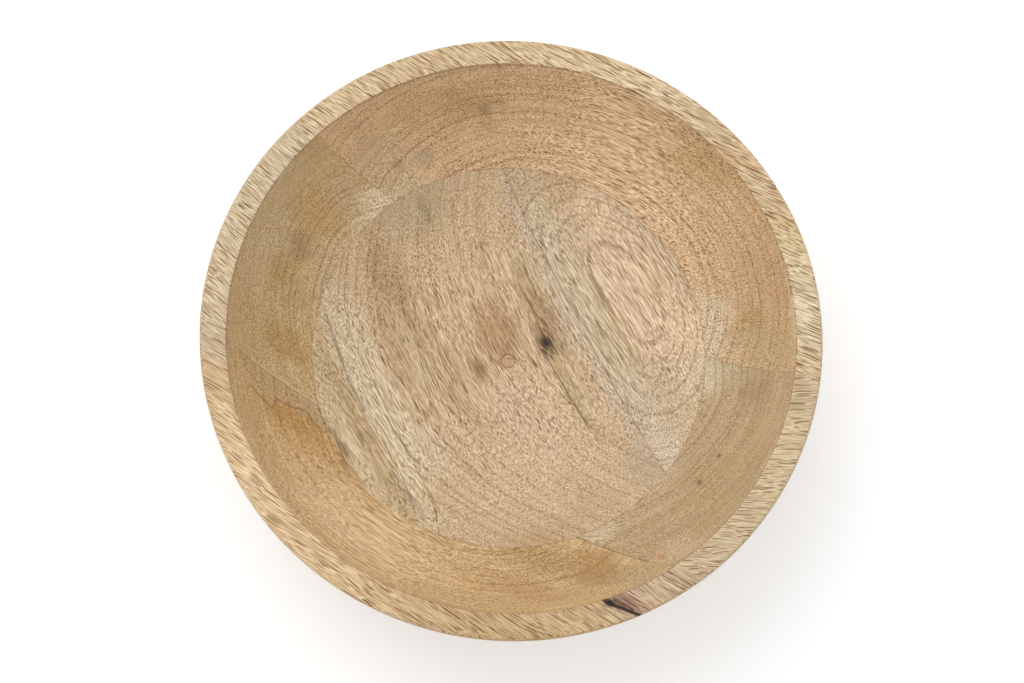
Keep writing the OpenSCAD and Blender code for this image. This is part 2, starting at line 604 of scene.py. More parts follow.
# %% [markdown]
# ## Wires
#
# A material is a tree of nodes, and each number in it travels along a wire. The class below lets those
# wires be added and multiplied like numbers in Python: each sum or product adds one Math node. That keeps
# a long recipe readable.

# %% Node helpers
class Wire:
    """A socket on its way to the shader. Arithmetic on wires adds nodes to their tree."""

    def __init__(self, tree, socket):
        self.tree = tree
        self.socket = socket

    def node(self, kind, inputs, output=0, **settings):
        """A new node of this kind, with its settings and with numbers or wires in its inputs."""
        node = self.tree.nodes.new("ShaderNode" + kind)
        for key, value in settings.items():
            setattr(node, key, value)
        for key, value in inputs.items():
            if isinstance(value, Wire):
                self.tree.links.new(value.socket, node.inputs[key])
            else:
                node.inputs[key].default_value = value
        return Wire(self.tree, node.outputs[output])

    def math(self, operation, other=0.0):
        return self.node("Math", {0: self, 1: other}, operation=operation)

    def vector(self, operation, other=(0, 0, 0), output=0):
        return self.node("VectorMath", {0: self, 1: other}, output, operation=operation)

    def length(self):
        return self.vector("LENGTH", output=1)

    def __add__(self, other):
        return self.math("ADD", other)

    def __sub__(self, other):
        return self.math("SUBTRACT", other)

    def __mul__(self, other):
        return self.math("MULTIPLY", other)

    def rise(self, low, high, top=1.0):
        """0 below low, top above high and an S-curve between; it falls where low is the larger."""
        inputs = {"Value": self, "From Min": low, "From Max": high, "To Min": 0.0, "To Max": top}
        return self.node("MapRange", inputs, interpolation_type="SMOOTHSTEP")

    def noise(self, detail, roughness=0.5, output=0):
        """Soft 3-D noise at this place, about 0.5, one bump to a unit. Output 1 gives three at once."""
        inputs = {"Vector": self, "Scale": 1.0, "Detail": detail, "Roughness": roughness}
        return self.node("TexNoise", inputs, output)

    def sway(self, reach, detail, roughness=0.5):
        """A soft push this way and that: three noises, each less a half, times reach."""
        noise = self.noise(detail, roughness, output=1)
        return noise.vector("SUBTRACT", (0.5,) * 3).vector("MULTIPLY", reach)

    def bands(self, spacing, seed, detail):
        """Soft noise of one number: bands about one spacing wide."""
        inputs = {"W": self + seed, "Scale": 1.0 / spacing, "Detail": detail}
        return self.node("TexNoise", inputs, noise_dimensions="1D")

    def off_centre(self, centre, size):
        """The way from a centre to this place, in units of size."""
        return self.vector("SUBTRACT", centre).vector("MULTIPLY", tuple(1 / s for s in size))

    def blend(self, colour, amount, mode="MIX"):
        """This colour, turned into another, or multiplied by it, by an amount from 0 to 1."""
        inputs = {0: amount, 6: self, 7: colour}
        settings = {"data_type": "RGBA", "blend_type": mode, "clamp_factor": True}
        return self.node("Mix", inputs, 2, **settings)


def paint(red, green, blue):
    """A colour as a paint program shows it, 0 to 255, as the light values that a shader takes."""
    share = np.array([red, green, blue]) / 255
    linear = np.where(share <= 0.04045, share / 12.92, ((share + 0.055) / 1.055) ** 2.4)
    return (*linear.tolist(), 1.0)


# %% [markdown]
# ## Wood
#
# Wood is a solid pattern, so it is worked out in three dimensions and the turned surface only cuts it
# open. Everything is laid out in the board's own frame: x along it, y across, z up. The rim is paler than
# the hollow, so each place also says how much of it is rim. A seed moves each board to a part of the noise
# that no other board uses, but for the two blocks, which were one board.

# %% Places in a board
# Depths below the rim where its own look ends and where it is full
rim_look_ends, rim_look_full = 1.2, 0.4


class Place:
    """Wires for a place in one board: the place, its three axes, and how much of it is rim or hollow.

    The place, in millimetres, is the object's place turned by -turn. Rim is an S-curve of the height."""

    def __init__(self, tree, turn, seed):
        self.seed = seed
        place = Wire(tree, tree.nodes.new("ShaderNodeTexCoord").outputs["Object"])
        turned = (0, 0, -np.radians(turn))
        self.board = place.node("Mapping", {"Vector": place, "Rotation": turned, "Scale": (1 / MM,) * 3})
        axes = self.board.node("SeparateXYZ", {0: self.board}).socket.node.outputs
        self.along, self.across, self.height = (Wire(tree, axes[axis]) for axis in "XYZ")
        self.on_rim = self.height.rise(bowl_h - rim_look_ends, bowl_h - rim_look_full)
        self.in_hollow = self.on_rim * -1.0 + 1.0

    def scaled(self, place, size, offset=0.0):
        """A place in units of size, moved off by the board's own seed."""
        moved = (self.seed + offset, self.seed * 1.7, self.seed * 0.6 + offset)
        inputs = {0: place, 1: tuple(1 / s for s in size), 2: moved}
        return place.node("VectorMath", inputs, operation="MULTIPLY_ADD")


# %% [markdown]
# ## Grain
#
# Grain is seldom straight. It leans in the board, bows across it, dips into it and wanders, and it bulges
# round a knot. So a place in the board is bent into a place in the grain before anything is drawn along
# it. On the rim the grain lies level, so the dip fades out there.

# %% Bent grain
drift_size = (120, 50, 50)
gauge = 100


def bent_grain(at, lean, bow, dip, wander, knots):
    """Grain = place in the board, turned by -lean, plus a slow drift, a bow, a dip and bulges.

    The bow grows with the square of the place along, and its size is given at one gauge. The dip grows with
    the square of the distance from its middle, and is given as that middle and the slope at one gauge."""
    grain = at.board.node("Mapping", {"Vector": at.board, "Rotation": (0, 0, -np.radians(lean))})
    drift = at.scaled(at.board, drift_size).sway((0, 2 * wander, 2 * wander), 2.0)
    from_dip = at.along - dip[0]
    depth = from_dip * from_dip * at.in_hollow * (dip[1] / (2 * gauge))
    shift = at.along.node("CombineXYZ", {1: at.along * at.along * (bow / gauge**2), 2: depth})
    grain = grain.vector("ADD", drift).vector("ADD", shift)
    for centre, size, push in knots:
        near = at.board.off_centre(centre, size).length().rise(1.0, 0.0, push)
        aside = at.board.vector("SUBTRACT", centre).vector("MULTIPLY", (0, -1, 0))
        bulge = aside.node("VectorMath", {0: aside, "Scale": near}, operation="SCALE")
        grain = grain.vector("ADD", bulge)
    return grain


# %% [markdown]
# ## Growth layers
#
# A tree adds layers round its pith, which lies off to one side of the board. So they show as contour lines
# on the hollow's slope and as long lines where they stand upright. They are bands of noise by the distance
# from the pith, broad ones and fine ones, with slow patches of another tint.

# %% Layers
patch_size = (60, 18, 18)


def growth_layers(at, grain, pith, broad_spacing, fine_spacing):
    """Layers = 1-D noise of the distance from the pith across the grain, in two spacings.

    Gives the broad and the fine layers, the patches, and how dense the wood is, a sum of the three."""
    ring = grain.vector("SUBTRACT", (0, *pith)).vector("MULTIPLY", (0, 1, 1)).length()
    broad = ring.bands(broad_spacing, at.seed, 2.0)
    fine = ring.bands(fine_spacing, at.seed + 40, 1.0)
    patch = at.scaled(grain, patch_size, 3).noise(2.0)
    dense = patch.rise(0.35, 0.65, 0.4) + broad.rise(0.35, 0.65, 0.3) + fine.rise(0.45, 0.65, 0.3)
    return broad, fine, patch, dense


def layer_colour(broad, patch, tones, amount):
    """From light to dark by the broad layers, with a third tone in the patches."""
    light, dark, tint = (paint(*tone) for tone in tones)
    layers = {0: broad.rise(0.35, 0.65, amount), 6: light, 7: dark}
    colour = broad.node("Mix", layers, 2, data_type="RGBA")
    return colour.blend(tint, patch.rise(0.4, 0.62, 0.6))


# %% [markdown]
# ## Stains and streaks
#
# Sap, oil and age leave blotches, and a crack or a bark pocket leaves a dark line. A blotch is an
# ellipsoid, and a line is a path with a width. Noise tears their edges, or they would look drawn.

# %% Stains and streaks
ragged_size = (20, 6, 6)
ragged_reach = 2.4
usual_edge = 0.6

# A stain thinner than this has a calmer edge
calm_below = 5


def stained(colour, at, ragged, stains):
    """Stain = S-curve of the distance from its centre, in units of its size and with a ragged push."""
    for centre, size, tone, amount, *own_edge in stains:
        edge = own_edge[0] if own_edge else usual_edge
        torn = ragged.vector("MULTIPLY", (min(1.0, min(size) / calm_below),) * 3)
        off = at.board.off_centre(centre, size).vector("ADD", torn)
        inside = off.length().rise(1 + edge, 1 - edge, amount)
        colour = colour.blend(paint(*tone), inside)
    return colour


def streaked(colour, at, ragged, streaks):
    """Streak = S-curve of the least distance to its path of straight lines, over its width."""
    jogged = at.board.vector("ADD", ragged.vector("MULTIPLY", (0.7, 0.7, 0)))
    for path, width, tone, amount in streaks:
        least = None
        for start, end in zip(np.array(path[:-1], float), np.array(path[1:], float)):
            way = end - start
            off = jogged.vector("SUBTRACT", tuple(start))
            share = off.vector("DOT_PRODUCT", tuple(way / (way @ way)), output=1)
            share = share.node("Clamp", {0: share})
            foot = share.node("VectorMath", {0: tuple(way), "Scale": share}, operation="SCALE")
            gap = off.vector("SUBTRACT", foot).length()
            least = gap if least is None else least.math("MINIMUM", gap)
        colour = colour.blend(paint(*tone), least.rise(1.3 * width, 0.4 * width, amount))
    return colour


# %% [markdown]
# ## Lines, fibres and pores
#
# Thin lines follow the growth layers. Fibres are noise stretched along the grain. Pores are thin tubes
# along it, made from stretched cells: dashes on a face, dots on end grain, with no extra work. Each has a
# dark core in a pale sheath. All of them multiply the colour under them by a tint.

# %% Lines, fibres and pores
dark_tint = (0.28, 0.15, 0.02, 1)
pale_tint = (1.36, 1.46, 1.62, 1)
rim_stroke = (20.0, 0.85)
pore_relief = 0.06


def lined(colour, at, fine, dense, amount):
    """Lines = where the fine layers are high, more in dense wood and less on the rim."""
    drawn = fine.rise(0.5, 0.7, amount) * (dense + 0.2) * (at.in_hollow * 0.7 + 0.3)
    return colour.blend(dark_tint, drawn, "MULTIPLY")


def fibred(colour, at, thread, contrast):
    """Fibres = pale where the thread noise is high, dark where it is low, and fainter on the rim."""
    show = (at.on_rim * -0.4 + 1.0) * contrast
    colour = colour.blend(pale_tint, thread.rise(0.52, 0.6, 0.48) * show, "MULTIPLY")
    return colour.blend(dark_tint, thread.rise(0.48, 0.4, 0.38) * show, "MULTIPLY")


def pored(colour, relief, at, grain, dense, pores, contrast):
    """Pores = S-curves of the distance from the centres of cells stretched along the grain.

    There are specks, strokes all over the hollow, and dark strokes that stand out on the rim."""
    long, thick = pores
    kinds = (
        (0.5 * long, 0.5 * thick, at.in_hollow * 0.2 + 0.45, 13),
        (0.85 * long, 0.85 * thick, at.in_hollow * 0.3 + 0.5, 17),
        (*rim_stroke, at.on_rim * 0.85 + 0.05, 23),
    )
    wide = dense * 0.12 + 0.27
    for length, width, shade, offset in kinds:
        tubes = at.scaled(grain, (length, width, width), offset)
        gap = tubes.node("TexVoronoi", {"Vector": tubes, "Scale": 1.0})
        sheath = gap.rise(wide * 2.0, wide * 1.3, 0.45 * contrast) * shade
        colour = colour.blend(pale_tint, sheath, "MULTIPLY")
        core = gap.rise(wide, wide * 0.75, contrast) * shade
        colour = colour.blend(dark_tint, core, "MULTIPLY")
        relief = relief - core * pore_relief
    return colour, relief


# %% [markdown]
# ## Glue lines and painted edge shade
#
# A glue line is a thin line at a joint's plane. It is faint in places, and sanding hides it near the rim.
# The circle where the slabs meet and the plug's ring show as thin lines too, and a thin dark line just
# under the rim's inner edge is painted shade, where the rim shades the wall.

# %% Glue lines and painted edge shade
# The tone of the glue circle, the plug's ring and the painted shade under the rim's inner edge
edge_tone = paint(128, 86, 54)
faint_patch_size = (14, 14, 14)
glue_line_top = 60.0
glue_line_fade = 6


def edged(colour, at, joints, rim, dowel):
    """Lines = S-curves of the distance from a joint's plane, a height or a radius."""
    faint = at.scaled(at.board, faint_patch_size, 29).noise(1.0).rise(0.3, 0.5)
    low = at.height.rise(glue_line_top, glue_line_top - glue_line_fade)
    for plane, tone, amount in joints:
        line = (at.across - plane).math("ABSOLUTE").rise(0.5, 0.2, amount)
        colour = colour.blend(paint(*tone), line * faint * low)
    seam = (at.height - glue_z).math("ABSOLUTE").rise(0.3, 0.05, 0.25)
    colour = colour.blend(edge_tone, seam * faint)
    radius = at.board.vector("MULTIPLY", (1, 1, 0)).length()
    if dowel:
        colour = colour.blend(edge_tone, (radius - plug_r).math("ABSOLUTE").rise(0.9, 0.2, 0.35))
    if rim:
        # Painted shade: a thin dark line just under the rim's inner edge, where the rim shades the wall
        rim_edge_shade = (at.height - (bowl_h - 0.7)).math("ABSOLUTE").rise(0.7, 0.1, 0.45)
        colour = colour.blend(edge_tone, rim_edge_shade * faint * radius.rise(hollow_r + 1.2, hollow_r + 0.8))
    return colour


# %% [markdown]
# ## The recipe
#
# A board's wood is those steps in turn. Small waves bend the grain only after the growth layers are drawn,
# so the layers stay calm while fibres and pores ripple. The same fibres, patches and pores set how dull and
# how rough to the touch the wood is.

# %% The wood recipe
ripple_size = (22, 9, 9)
ripple_reach = 2.2
fibre_relief = 0.03
wood_gloss = 0.3
bump_strength = 0.5


def board_wood(
    name, pith, seed, tones, turn=0.0, lean=0.0, bow=0.0, dip=(0.0, 0.0), wander=4.0, bands=(5.0, 0.6),
    lines=(1.2, 0.25), fibre=(18.0, 0.5), pores=(18.0, 0.85), contrast=1.0, stains=(), streaks=(),
    knots=(), joints=(), rim=None, dowel=False,
):
    """Material of one board.

    Bands and lines are a spacing and an amount, and fibre and pores a length and a thickness. Tones are
    the light, the dark and the patches' colour, and rim is the rim's. A dowel's ring is drawn if asked."""
    material = bpy.data.materials.new(name)
    material.use_nodes = True
    tree = material.node_tree
    shader = tree.nodes["Principled BSDF"]

    at = Place(tree, turn, seed)
    grain = bent_grain(at, lean, bow, dip, wander, knots)
    broad, fine, patch, dense = growth_layers(at, grain, pith, bands[0], lines[0])
    ripple = at.scaled(at.board, ripple_size, 5).sway((0, ripple_reach, ripple_reach), 1.0)
    grain = grain.vector("ADD", ripple)
    thread = at.scaled(grain, (fibre[0], fibre[1], fibre[1]), 11).noise(1.0, 0.6)
    ragged = at.scaled(at.board, ragged_size, 7).sway((ragged_reach,) * 3, 5.0, 0.65)

    colour = layer_colour(broad, patch, tones, bands[1])
    if rim:
        colour = colour.blend(paint(*rim), at.on_rim * 0.75)
        dense = dense.math("MAXIMUM", at.on_rim * 0.8)
    colour = stained(colour, at, ragged, stains)
    colour = lined(colour, at, fine, dense, lines[1])
    colour = fibred(colour, at, thread, contrast)
    colour, relief = pored(colour, thread * fibre_relief, at, grain, dense, pores, contrast)
    colour = streaked(colour, at, ragged, streaks)
    # Glue lines and, on a board with a rim, a thin line of painted shade under the rim's inner edge
    colour = edged(colour, at, joints, rim, dowel)

    tree.links.new(colour.socket, shader.inputs["Base Color"])
    dull = thread * 0.12 + patch * 0.1 + 0.46
    tree.links.new(dull.socket, shader.inputs["Roughness"])
    shader.inputs["Specular IOR Level"].default_value = wood_gloss
    bump = relief.node("Bump", {"Height": relief, "Distance": MM, "Strength": bump_strength})
    tree.links.new(bump.socket, shader.inputs["Normal"])
    print(f"{name}: {len(tree.nodes)} nodes")
    return material


# %% [markdown]
# ## Base boards
#
# Places in the three base boards are given along the grain, across the slab and up, from the bowl's axis.
# Each stain is a centre, a size, a colour, an amount and, if it isn't the usual one, the softness of its
# edge. Each streak is a path, a width, a colour and an amount. Each joint is a plane, a colour and an
# amount.

# %% Middle base wood
glue_brown = (96, 70, 46)
woods = {}
woods["base_board_middle"] = board_wood(
    "middle_base_wood", turn=base_turn, pith=(-140, 150), seed=53.2,
    tones=((212, 184, 147), (196, 164, 125), (208, 178, 140)),
    lean=2, bow=-8.0, dip=(-25.0, 0.25), lines=(1.5, 0.2),
    knots=[((0, 21.4, 15), (30, 14, 20), 0.7)],
    stains=[
        ((38, -8, 17), (38, 26, 24), (217, 186, 152), 0.7, 0.5),
        ((86, 2, 23), (16, 14, 14), (198, 168, 131), 0.7, 0.5),
        ((92, -32, 28), (12, 18, 9), (188, 156, 114), 0.7, 0.8),
        ((0, -31, 16), (32, 6, 10), (188, 158, 121), 0.75),
        ((-58, -36, 18), (28, 9, 20), (178, 146, 104), 0.75),
        ((-30, -46, 17), (26, 7, 15), (188, 158, 117), 0.75),
        ((-90, -8, 26), (14, 24, 16), (194, 169, 131), 0.7, 0.5),
        ((-88, -3.5, 25), (8, 2.5, 8), (166, 150, 118), 0.6, 0.5),
        ((-16, -64, 20), (60, 8, 30), (217, 197, 162), 0.85, 0.35),
        ((20, -35, 16), (12, 6, 8), (216, 186, 148), 0.6),
        ((-40, 30, 16), (12, 5, 8), (214, 194, 160), 0.5),
        ((22, -54, 17), (16, 6, 8), (214, 190, 156), 0.7),
        ((-18, -40, 16), (26, 4, 10), (202, 179, 134), 0.6, 0.5),
        ((0, 42, 18), (104, 8.5, 30), (206, 185, 155), 0.85, 0.2),
        ((80, 34, 25), (18, 9, 14), (189, 166, 136), 0.8, 0.5),
        ((-14, 2, 15), (17, 9, 12), (176, 136, 95), 0.8),
        ((-18, -6, 15), (8, 5, 6), (190, 152, 110), 0.5),
        ((-3, -15, 15), (6, 3.2, 6), (132, 92, 48), 0.65, 0.8),
        ((-20, 27, 15), (28, 6.5, 15), (178, 150, 111), 0.8, 0.5),
        ((-4, 28, 15.5), (16, 5, 10), (178, 149, 112), 0.75, 0.5),
        ((-9, 21, 15), (9, 4, 8), (190, 158, 114), 0.6),
        ((28, 21.5, 15.5), (28, 3.4, 15), (190, 168, 124), 0.85, 0.4),
        ((14, 21.4, 15), (12, 1.8, 6), (200, 172, 124), 0.7, 0.4),
        ((-0.5, 21.5, 15.3), (8, 4.4, 8), (120, 92, 62), 0.85, 0.9),
        ((-0.3, 21.6, 15.3), (3.0, 2.1, 5), (40, 34, 30), 0.95, 0.7),
    ],
    streaks=[
        ([(2, 18.2, 15), (50, 20.4, 16.4)], 0.45, (104, 78, 48), 0.7),
        ([(-28, 24, 15.6), (-3, 22, 15)], 0.5, (104, 76, 50), 0.6),
        ([(-44, -35, 16.5), (14, -34, 15.8)], 0.4, (140, 102, 64), 0.5),
    ],
    joints=[(base_joint_back, glue_brown, 0.4), (base_joint_front, glue_brown, 0.4)],
    dowel=True,
)

# %% Back and front base woods
woods["base_board_back"] = board_wood(
    "back_base_wood", turn=base_turn, pith=(106, -127), seed=41.9,
    tones=((214, 189, 154), (197, 169, 132), (210, 184, 149)),
    lean=4, wander=0.8, bands=(2.6, 0.5), lines=(0.7, 0.35),
    stains=[
        ((4, 72, 20), (44, 22, 16), (220, 192, 157), 0.8, 0.5),
        ((-10, 86, 23), (30, 8, 10), (218, 189, 153), 0.6, 0.5),
        ((-71, 65, 29), (17, 10, 12), (204, 172, 130), 0.8),
        ((0, 48, 20), (104, 9.5, 30), (206, 187, 154), 0.85, 0.15),
        ((6, 58, 18), (46, 1.6, 20), (178, 152, 110), 0.7, 0.5),
        ((-84, 42, 27), (18, 10, 14), (201, 175, 138), 0.8, 0.5),
        ((56, 46, 19), (20, 9, 14), (202, 180, 154), 0.8, 0.5),
        ((78, 49, 26), (16, 6, 12), (212, 193, 163), 0.9, 0.5),
        ((27, 88, 26), (14, 9, 8), (228, 198, 160), 0.8, 0.5),
        ((47, 79, 26), (9, 8, 8), (218, 195, 162), 0.7, 0.5),
        ((50, 62, 22), (24, 8, 9), (202, 177, 142), 0.8, 0.5),
        ((-50, 75, 26), (14, 9, 10), (228, 198, 162), 0.7),
    ],
    joints=[(base_joint_back, glue_brown, 0.4)],
)
woods["base_board_front"] = board_wood(
    "front_base_wood", turn=base_turn, pith=(-190, -60), seed=67.5,
    tones=((212, 189, 152), (193, 165, 123), (206, 181, 143)),
    lean=4, bands=(4.0, 0.5), lines=(1.3, 0.3),
    stains=[
        ((-16, -69, 22), (60, 8.5, 30), (217, 198, 163), 0.85, 0.15),
        ((0, -82, 23), (60, 4, 20), (190, 162, 118), 0.7, 0.5),
        ((32, -77.5, 23), (6, 1.6, 5), (140, 126, 106), 0.3),
        ((43, -77.3, 25), (6, 1.6, 5), (140, 126, 106), 0.3),
        ((51, -74.8, 26), (5, 1.5, 5), (140, 126, 106), 0.3),
    ],
    streaks=[
        (
            [(-59, -73, 27.5), (-43, -75, 24), (-28, -76.8, 22), (-17, -77, 21.2), (-8, -77, 20.7)],
            0.8, (104, 94, 82), 0.5,
        ),
        (
            [(26.5, -79.4, 22.9), (34.6, -79.5, 24), (41, -76.3, 24), (46, -74.3, 24.5)],
            0.6, (112, 100, 86), 0.4,
        ),
        ([(-2, -68.5, 18.4), (13, -67.4, 18.5), (24, -66.6, 18.9)], 0.4, (84, 66, 50), 0.55),
    ],
    joints=[(base_joint_front, glue_brown, 0.4)],
)

# %% [markdown]
# ## Wall boards
#
# The wall boards' grain runs along x. Left and right, the hollow's side cuts it across, so the wood there
# is all fine specks and soft blotches. At the back and the front it is cut along, into lines and dashes.

# %% Back and front wall woods
woods["wall_board_back"] = board_wood(
    "back_wall_wood", pith=(95, -110), seed=3.1,
    tones=((220, 186, 143), (202, 165, 120), (214, 179, 135)),
    lean=-1, bow=-3.0, dip=(60.0, 0.1), bands=(4.0, 0.5), pores=(14.0, 1.1),
    stains=[
        ((100, 78, 55), (26, 44, 30), (199, 163, 121), 0.7),
        ((5, 110, 40), (36, 14, 14), (228, 195, 154), 0.8, 0.5),
        ((-88, 50, 32), (14, 11, 9), (212, 191, 154), 0.8, 0.8),
        ((-76, 100, 54), (22, 10, 10), (194, 158, 107), 0.8),
        ((-95, 85, 58), (22, 10, 14), (205, 169, 121), 0.7),
        ((42, 126, 64), (26, 10, 18), (202, 166, 118), 0.7),
        ((-102, 56, 44), (17, 14, 18), (203, 174, 131), 0.7, 0.5),
        ((84, 58, 33), (14, 22, 9), (218, 200, 168), 0.8, 0.9),
        ((100, 64, 46), (9, 8, 9), (186, 156, 106), 0.85),
        ((-118, 59, 64), (6, 5, 5), (196, 162, 122), 0.6),
        ((-96, 104, 75), (44, 40, 4), (198, 170, 128), 0.5),
        ((0, 130, 60), (28, 12, 14), (230, 197, 154), 0.75),
        ((38, 102, 37), (20, 10, 9), (226, 193, 153), 0.75),
        ((101, 101, 75), (16, 16, 4), (216, 190, 144), 0.6),
        ((4, 144, 75), (22, 12, 4), (220, 196, 158), 0.6),
        ((40, 139, 75), (14, 10, 4), (194, 168, 130), 0.6),
        ((122, 78, 75), (18, 26, 4), (220, 200, 162), 0.8),
        ((114, 52, 54), (18, 13, 20), (196, 169, 128), 0.85, 0.5),
        ((-94, 59.5, 39.4), (3, 3, 3), (168, 144, 108), 0.6),
        ((-84, 70, 37.7), (6, 4, 4), (176, 160, 126), 0.6),
        ((-67, 103, 51.6), (4, 2.5, 2.5), (150, 132, 92), 0.6),
    ],
    joints=[(wall_joint_back, glue_brown, 0.25)],
    rim=(206, 181, 141),
)
woods["wall_board_front"] = board_wood(
    "front_wall_wood", pith=(-100, -120), seed=15.7,
    tones=((212, 180, 133), (192, 156, 106), (204, 171, 122)),
    lean=-7, bands=(3.4, 0.6), lines=(1.1, 0.3), fibre=(30.0, 0.55), contrast=0.9,
    stains=[
        ((-28, -114, 46), (46, 16, 26), (225, 191, 147), 0.75),
        ((-55, -88, 34), (24, 7, 12), (196, 159, 107), 0.8),
        ((-76, -83, 40), (20, 9, 16), (188, 147, 86), 0.9),
        ((-85, -68, 42), (32, 9.5, 50), (190, 160, 117), 0.9, 0.08),
        ((63, -86, 36), (30, 8, 9), (180, 146, 98), 0.8),
        ((90, -83, 50), (24, 8, 9), (172, 136, 90), 0.85),
        ((60, -106, 50), (30, 9, 12), (184, 146, 98), 0.6),
        ((112, -76, 62), (18, 10, 16), (190, 166, 128), 0.7),
        ((-66, -124, 75), (54, 34, 4), (222, 190, 148), 0.8, 0.5),
        ((-20, -142, 75), (40, 12, 4), (214, 181, 136), 0.7),
        ((56, -132, 75), (40, 16, 4), (194, 160, 114), 0.65),
        ((-124, -73, 75), (14, 8, 4), (196, 174, 144), 0.7, 0.5),
        ((30, -118, 50), (18, 8, 10), (204, 168, 116), 0.5),
        ((-14, -122, 54), (34, 14, 18), (226, 193, 149), 0.7),
        ((-68, -93, 42), (12, 7, 10), (212, 174, 124), 0.6),
        ((86, -76, 42), (18, 7, 8), (180, 144, 94), 0.85, 0.5),
        ((120, -84, 75), (22, 22, 4), (200, 175, 141), 0.8),
        ((113, -92, 75), (12, 7, 4), (198, 162, 132), 0.6),
        ((107, -93.8, 75), (7.5, 3.2, 4), (136, 96, 80), 0.8),
        ((99.5, -97, 75), (3.4, 1.8, 3), (30, 24, 24), 0.95, 0.5),
    ],
    streaks=[
        (
            [(97, -97.1, 74.5), (102, -97.1, 74.4), (110, -96.2, 74.4), (115, -95.7, 74.5)],
            1.0, (28, 22, 22), 0.95,
        ),
        ([(101, -95, 75), (108, -94.5, 75), (111.4, -94.9, 75)], 0.5, (62, 42, 36), 0.85),
        (
            [
                (-101, -79.2, 58.8), (-94, -81.5, 53), (-87.6, -82.6, 48.3), (-89, -77, 45.5),
                (-82, -76.4, 40.1), (-75, -73.4, 34.5), (-68, -77, 32.8), (-63, -79, 31.9),
            ],
            0.9, (146, 100, 48), 0.5,
        ),
    ],
    joints=[(wall_joint_front, glue_brown, 0.9)],
    rim=(203, 172, 129),
)

# %% Left and right wall woods
woods["wall_block_left"] = board_wood(
    "left_wall_wood", pith=(-20, -90), seed=27.3,
    tones=((206, 177, 130), (190, 160, 112), (200, 171, 124)),
    lean=-14,
    stains=[
        ((-130, -10, 62), (12, 34, 14), (206, 181, 140), 0.7),
        ((-101, 8, 32.5), (12, 36, 6), (206, 178, 136), 0.75),
        ((-111, 34, 43), (13, 9, 18), (199, 170, 128), 0.7, 0.5),
        ((-117, 15, 47), (18, 11, 18), (197, 161, 109), 0.8, 0.4),
        ((-118, -19, 47), (10, 9, 9), (188, 156, 103), 0.8),
        ((-115.6, -3.2, 43.3), (9, 7, 9), (174, 147, 103), 0.85, 0.5),
        ((-100, -49, 39.4), (16, 8, 13), (184, 150, 93), 0.85),
        ((-98, -9, 30), (5, 5, 5), (192, 172, 136), 0.8),
        ((-105, -26, 38), (9, 9, 9), (190, 160, 115), 0.7),
        ((-92, 40, 31), (13, 17, 9), (230, 209, 173), 0.85, 0.8),
        ((-142, 16, 75), (12, 32, 4), (202, 180, 144), 0.75),
    ],
    streaks=[
        ([(-110, -75, 75), (-129, -76, 75)], 0.6, (98, 72, 46), 0.45),
        ([(-112, -64, 75), (-131, -65, 75)], 0.6, (98, 72, 46), 0.4),
    ],
    joints=[(wall_joint_front, (240, 220, 184), 0.9), (wall_joint_back, glue_brown, 0.3)],
    rim=(204, 182, 148),
)
woods["wall_block_right"] = board_wood(
    "right_wall_wood", pith=(-20, -90), seed=27.3,
    tones=((195, 169, 129), (178, 150, 110), (188, 162, 122)),
    lean=28, contrast=0.85,
    stains=[
        ((113, -18, 44), (14, 16, 12), (188, 156, 116), 0.7),
        ((117, 36, 51), (8, 9, 10), (176, 149, 111), 0.8),
        ((104, 42, 43), (17, 7, 22), (191, 168, 130), 0.7),
        ((95, -20, 29), (8, 16, 5), (200, 175, 142), 0.7),
        ((93, 38, 31), (11, 13, 7), (216, 198, 166), 0.8, 0.9),
        ((80, -60, 31), (9, 9, 6), (208, 186, 152), 0.8, 0.5),
        ((118, -58, 64), (11, 12, 13), (206, 180, 142), 0.8, 0.5),
        ((130, 26, 68), (8, 20, 9), (202, 174, 134), 0.7, 0.5),
        ((144, 2, 75), (10, 20, 4), (212, 186, 146), 0.7),
        ((113, -18, 42), (1.4, 1.4, 1.4), (128, 90, 58), 0.8),
        ((116, -2.3, 43.5), (1.2, 1.2, 1.2), (128, 90, 58), 0.8),
        ((112, -63.6, 58.7), (3, 1.5, 2), (196, 138, 80), 0.7),
    ],
    joints=[(wall_joint_front, glue_brown, 0.1), (wall_joint_back, glue_brown, 0.2)],
    rim=(208, 184, 146),
)

# %% [markdown]
# ## The dowel
#
# The plug is cut from a stick whose grain runs across it, so its end shows a few strokes of its own.

# %% Plug wood
woods["centre_plug"] = board_wood(
    "dowel_wood", turn=-80, pith=(30, -40), seed=71.4,
    tones=((208, 172, 130), (194, 156, 114), (202, 166, 124)),
    wander=1.0, contrast=0.5,
    streaks=[([(-1.0, -1.0, 15), (-2.1, 2.0, 15)], 0.3, (128, 76, 46), 0.8)],
    dowel=True,
)

# %% [markdown]
# ## Put the pieces in the frame
#
# Each piece stands for one solid of the frame, rides on the bowl's single body and takes one finish slot.
# Everything is glued, so nothing moves.

# %% Ride, replace and slot
for node, piece in pieces.items():
    piece.data.materials.append(woods[node])
    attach(piece, "root")
    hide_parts(node)

# %% [markdown]
# ## Floor
#
# The bowl stands on a white floor. To the camera the floor glows a little, so that it fades into the
# white beyond it and keeps only a soft shadow. The glow lights nothing: the helper tells rays that look
# from rays that carry light. The floor, the lamp and their places are given in metres.

# %% White floor
floor_half = 4.0
floor_z = -0.0002
floor_white = 0.82
floor_glow = 0.36


def seen_rays(tree):
    """1 for rays that look: from the camera, or by way of gloss or glass. 0 for rays of plain light."""
    path = tree.nodes.new("ShaderNodeLightPath")
    kinds = ("Is Camera Ray", "Is Glossy Ray", "Is Transmission Ray")
    camera, gloss, glass = (Wire(tree, path.outputs[kind]) for kind in kinds)
    return camera.math("MAXIMUM", gloss).math("MAXIMUM", glass)


